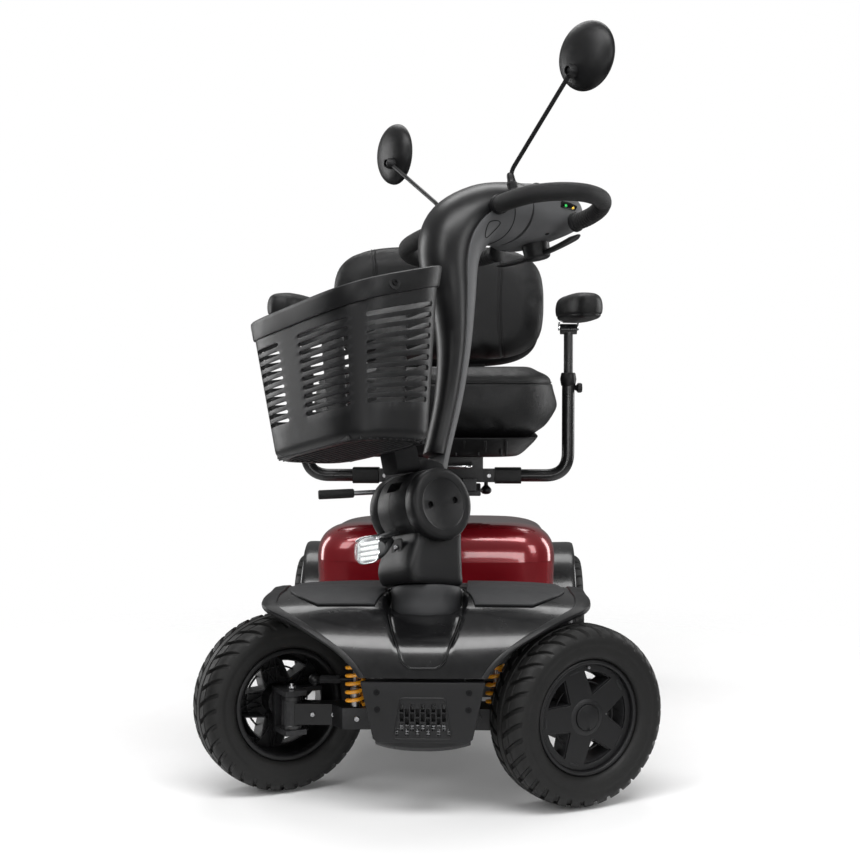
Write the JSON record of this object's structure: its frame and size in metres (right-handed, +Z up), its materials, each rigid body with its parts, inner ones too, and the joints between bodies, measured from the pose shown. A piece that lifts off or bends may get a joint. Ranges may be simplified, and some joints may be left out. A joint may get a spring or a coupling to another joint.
{
  "type": "mobility scooter",
  "caption": "Outdoor mobility scooter with a steered, tilting tiller, basket, mirrors, swivelling cushioned seat with armrests, sprung steered front wheels and moulded bodywork.",
  "frame": {"origin": "on the ground under the middle of the scooter's bounding box", "axes": "+Z up, -Y is the front of the scooter, +X is its left side"},
  "size_m": [0.8902, 1.3973, 1.4903],
  "materials": {
    "main_frame": "satin black",
    "front_bumper_plate": "satin black",
    "front_shroud": "gloss black",
    "shroud_tongue": "satin black",
    "deck_pad_left": "dark grey",
    "deck_pad_right": "dark grey",
    "steering_socket": "satin black",
    "floorboard": "ribbed dark grey mat",
    "rear_shroud": "candy red",
    "rear_fender_left": "satin black",
    "rear_fender_right": "satin black",
    "rear_bumper": "satin black",
    "battery_pack": "satin black",
    "transaxle": "satin black",
    "seat_post": "satin black",
    "spring_left": "gloss orange",
    "spring_right": "gloss orange",
    "pitman_arm": "satin black",
    "tiller_neck": "satin black",
    "headlight": "clear and chrome",
    "tiller_column": "dark grey",
    "tiller_front_shell": "gloss black",
    "console": "satin black",
    "handle_loop_left": "black foam",
    "handle_loop_right": "black foam",
    "throttle_lever": "satin black",
    "speed_knob": "dark grey",
    "key_switch": "metal",
    "basket": "satin black",
    "seat_swivel_plate": "satin black",
    "swivel_lever": "satin black",
    "seat_frame": "satin black",
    "seat_pan": "satin black",
    "seat_cushion": "black vinyl",
    "backrest_shell": "satin black",
    "backrest_cushion": "black vinyl",
    "suspension_arm_left": "satin black",
    "knuckle_left": "satin black",
    "tie_rod_left": "satin black",
    "tyre_front_left": "black",
    "rim_front_left": "satin black",
    "tyre_rear_left": "black",
    "rim_rear_left": "satin black",
    "mirror_stalk_left": "satin black",
    "mirror_head_left": "satin black",
    "armrest_tube_left": "satin black",
    "armrest_post_left": "satin black",
    "armrest_pad_left": "black vinyl",
    "suspension_arm_right": "satin black",
    "knuckle_right": "satin black",
    "tie_rod_right": "satin black",
    "tyre_front_right": "black",
    "rim_front_right": "satin black",
    "tyre_rear_right": "black",
    "rim_rear_right": "satin black",
    "mirror_stalk_right": "satin black",
    "mirror_head_right": "satin black",
    "armrest_tube_right": "satin black",
    "armrest_post_right": "satin black",
    "armrest_pad_right": "black vinyl"
  },
  "bodies": {
    "chassis": {"main_frame": "main_frame", "front_bumper_plate": "front_bumper_plate", "front_shroud": "front_shroud", "shroud_tongue": "shroud_tongue", "deck_pad_left": "deck_pad_left", "deck_pad_right": "deck_pad_right", "steering_socket": "steering_socket", "floorboard": "floorboard", "rear_shroud": "rear_shroud", "rear_fender_left": "rear_fender_left", "rear_fender_right": "rear_fender_right", "rear_bumper": "rear_bumper", "battery_pack": "battery_pack", "transaxle": "transaxle", "seat_post": "seat_post", "spring_left": "spring_left", "spring_right": "spring_right"},
    "pitman": {"pitman_arm": "pitman_arm"},
    "tiller_base": {"tiller_neck": "tiller_neck", "headlight": "headlight"},
    "tiller": {"tiller_column": "tiller_column", "tiller_front_shell": "tiller_front_shell", "console": "console", "handle_loop_left": "handle_loop_left", "handle_loop_right": "handle_loop_right"},
    "throttle": {"throttle_lever": "throttle_lever"},
    "knob": {"speed_knob": "speed_knob"},
    "key": {"key_switch": "key_switch"},
    "basket_body": {"basket": "basket"},
    "swivel": {"seat_swivel_plate": "seat_swivel_plate"},
    "release": {"swivel_lever": "swivel_lever"},
    "seat": {"seat_frame": "seat_frame", "seat_pan": "seat_pan", "seat_cushion": "seat_cushion"},
    "backrest": {"backrest_shell": "backrest_shell", "backrest_cushion": "backrest_cushion"},
    "arm_left": {"suspension_arm_left": "suspension_arm_left"},
    "knuckle_body_left": {"knuckle_left": "knuckle_left"},
    "rod_left": {"tie_rod_left": "tie_rod_left"},
    "wheel_front_left": {"tyre_front_left": "tyre_front_left", "rim_front_left": "rim_front_left"},
    "wheel_rear_left": {"tyre_rear_left": "tyre_rear_left", "rim_rear_left": "rim_rear_left"},
    "stalk_left": {"mirror_stalk_left": "mirror_stalk_left"},
    "mirror_left": {"mirror_head_left": "mirror_head_left"},
    "armrest_left": {"armrest_tube_left": "armrest_tube_left"},
    "armrest_riser_left": {"armrest_post_left": "armrest_post_left"},
    "pad_left": {"armrest_pad_left": "armrest_pad_left"},
    "arm_right": {"suspension_arm_right": "suspension_arm_right"},
    "knuckle_body_right": {"knuckle_right": "knuckle_right"},
    "rod_right": {"tie_rod_right": "tie_rod_right"},
    "wheel_front_right": {"tyre_front_right": "tyre_front_right", "rim_front_right": "rim_front_right"},
    "wheel_rear_right": {"tyre_rear_right": "tyre_rear_right", "rim_rear_right": "rim_rear_right"},
    "stalk_right": {"mirror_stalk_right": "mirror_stalk_right"},
    "mirror_right": {"mirror_head_right": "mirror_head_right"},
    "armrest_right": {"armrest_tube_right": "armrest_tube_right"},
    "armrest_riser_right": {"armrest_post_right": "armrest_post_right"},
    "pad_right": {"armrest_pad_right": "armrest_pad_right"}
  },
  "joints": [
    {"name": "tiller_steer", "type": "hinge", "parent": "chassis", "child": "tiller_base", "pos_m": [0, -0.49, 0.42], "axis": [0, 0.2419, 0.9703], "range_deg": [0, 102]},
    {"name": "pitman_turn", "type": "hinge", "parent": "chassis", "child": "pitman", "pos_m": [0, -0.52, 0.198], "axis": [0, 0, 1], "range_deg": [0, 120]},
    {"name": "suspension_left", "type": "hinge", "parent": "chassis", "child": "arm_left", "pos_m": [0.0905, -0.52, 0.158], "axis": [0, 1, 0], "range_deg": [-2.5, 2.5], "stiffness_Nm_per_rad": 1500, "springref_deg": 2.58, "deforming": ["spring_left"]},
    {"name": "knuckle_steer_left", "type": "hinge", "parent": "arm_left", "child": "knuckle_body_left", "pos_m": [0.257, -0.52, 0.17], "axis": [0, 0, 1], "range_deg": [0, 120]},
    {"name": "tie_rod_pin_left", "type": "hinge", "parent": "knuckle_body_left", "child": "rod_left", "pos_m": [0.31263, -0.50636, 0.213], "axis": [0, 0, 1], "range_deg": [-120, 0]},
    {"name": "wheel_spin_front_left", "type": "hinge", "parent": "knuckle_body_left", "child": "wheel_front_left", "pos_m": [0.28325, -0.56547, 0.17], "axis": [0.5, -0.866, 0], "continuous": true},
    {"name": "wheel_spin_rear_left", "type": "hinge", "parent": "chassis", "child": "wheel_rear_left", "pos_m": [0.3095, 0.48, 0.17], "axis": [1, 0, 0], "continuous": true},
    {"name": "suspension_right", "type": "hinge", "parent": "chassis", "child": "arm_right", "pos_m": [-0.0905, -0.52, 0.158], "axis": [0, -1, 0], "range_deg": [-2.5, 2.5], "stiffness_Nm_per_rad": 1500, "springref_deg": 2.58, "deforming": ["spring_right"]},
    {"name": "knuckle_steer_right", "type": "hinge", "parent": "arm_right", "child": "knuckle_body_right", "pos_m": [-0.257, -0.52, 0.17], "axis": [0, 0, 1], "range_deg": [0, 120]},
    {"name": "tie_rod_pin_right", "type": "hinge", "parent": "knuckle_body_right", "child": "rod_right", "pos_m": [-0.21737, -0.47864, 0.213], "axis": [0, 0, 1], "range_deg": [-120, 0]},
    {"name": "wheel_spin_front_right", "type": "hinge", "parent": "knuckle_body_right", "child": "wheel_front_right", "pos_m": [-0.28325, -0.47453, 0.17], "axis": [0.5, -0.866, 0], "continuous": true},
    {"name": "wheel_spin_rear_right", "type": "hinge", "parent": "chassis", "child": "wheel_rear_right", "pos_m": [-0.3095, 0.48, 0.17], "axis": [1, 0, 0], "continuous": true},
    {"name": "tiller_tilt", "type": "hinge", "parent": "tiller_base", "child": "tiller", "pos_m": [-0.01332, -0.46984, 0.54546], "axis": [0.6293, -0.7541, 0.188], "range_deg": [-5, 18]},
    {"name": "throttle_pull", "type": "hinge", "parent": "tiller", "child": "throttle", "pos_m": [0.2284, -0.14571, 1.03635], "axis": [-0.188, 0.087, 0.9783], "range_deg": [-12, 12], "stiffness_Nm_per_rad": 0.4},
    {"name": "speed_knob_turn", "type": "hinge", "parent": "tiller", "child": "knob", "pos_m": [0.19639, -0.13568, 1.18372], "axis": [0.0921, 0.3126, 0.9454], "range_deg": [-135, 135]},
    {"name": "key_turn", "type": "hinge", "parent": "tiller", "child": "key", "pos_m": [0.22786, -0.17338, 1.19312], "axis": [0.0921, 0.3126, 0.9454], "range_deg": [0, 90]},
    {"name": "mirror_swing_left", "type": "hinge", "parent": "tiller", "child": "stalk_left", "pos_m": [0.16963, -0.31812, 1.16919], "axis": [-0.188, 0.087, 0.9783], "range_deg": [-30, 30]},
    {"name": "mirror_tilt_left", "type": "hinge", "parent": "stalk_left", "child": "mirror_left", "pos_m": [0.27901, -0.41406, 1.39148], "axis": [0.6293, -0.7541, 0.188], "range_deg": [-12, 4]},
    {"name": "mirror_swing_right", "type": "hinge", "parent": "tiller", "child": "stalk_right", "pos_m": [0.02111, -0.14016, 1.12482], "axis": [-0.188, 0.087, 0.9783], "range_deg": [-30, 30]},
    {"name": "mirror_tilt_right", "type": "hinge", "parent": "stalk_right", "child": "mirror_right", "pos_m": [-0.0998, 0.03984, 1.27831], "axis": [0.6293, -0.7541, 0.188], "range_deg": [-12, 4]},
    {"name": "basket_lift_off", "type": "slide", "parent": "tiller", "child": "basket_body", "axis": [-0.188, 0.087, 0.9783], "range_m": [0, 0.15]},
    {"name": "seat_swivel", "type": "hinge", "parent": "chassis", "child": "swivel", "pos_m": [0, 0.1, 0.53], "axis": [0, 0, -1], "range_deg": [-60, 0]},
    {"name": "seat_release", "type": "hinge", "parent": "swivel", "child": "release", "pos_m": [-0.107, 0.03, 0.5365], "axis": [0, 1, 0], "range_deg": [0, 10], "stiffness_Nm_per_rad": 2, "springref_deg": -17.19},
    {"name": "seat_slide", "type": "slide", "parent": "swivel", "child": "seat", "axis": [0, 1, 0], "range_m": [-0.06, 0.05]},
    {"name": "backrest_recline", "type": "hinge", "parent": "seat", "child": "backrest", "pos_m": [0, 0.385, 0.8], "axis": [1, 0, 0], "range_deg": [-20, 5]},
    {"name": "armrest_width_left", "type": "slide", "parent": "seat", "child": "armrest_left", "axis": [1, 0, 0], "range_m": [0, 0.05]},
    {"name": "armrest_height_left", "type": "slide", "parent": "armrest_left", "child": "armrest_riser_left", "axis": [0, 0, 1], "range_m": [-0.05, 0.02]},
    {"name": "armrest_flip_left", "type": "hinge", "parent": "armrest_riser_left", "child": "pad_left", "pos_m": [0.314, 0.23, 0.91], "axis": [-1, 0, 0], "range_deg": [0, 100]},
    {"name": "armrest_width_right", "type": "slide", "parent": "seat", "child": "armrest_right", "axis": [-1, 0, 0], "range_m": [0, 0.05]},
    {"name": "armrest_height_right", "type": "slide", "parent": "armrest_right", "child": "armrest_riser_right", "axis": [0, 0, 1], "range_m": [-0.05, 0.02]},
    {"name": "armrest_flip_right", "type": "hinge", "parent": "armrest_riser_right", "child": "pad_right", "pos_m": [-0.314, 0.23, 0.91], "axis": [-1, 0, 0], "range_deg": [0, 100]}
  ],
  "couplings": [
    {"joint": "pitman_turn", "follows": "tiller_steer", "ratio": 1.1764},
    {"joint": "knuckle_steer_left", "follows": "tiller_steer", "ratio": 1.1764},
    {"joint": "tie_rod_pin_left", "follows": "tiller_steer", "ratio": -1.1764},
    {"joint": "knuckle_steer_right", "follows": "tiller_steer", "ratio": 1.1764},
    {"joint": "tie_rod_pin_right", "follows": "tiller_steer", "ratio": -1.1764}
  ]
}
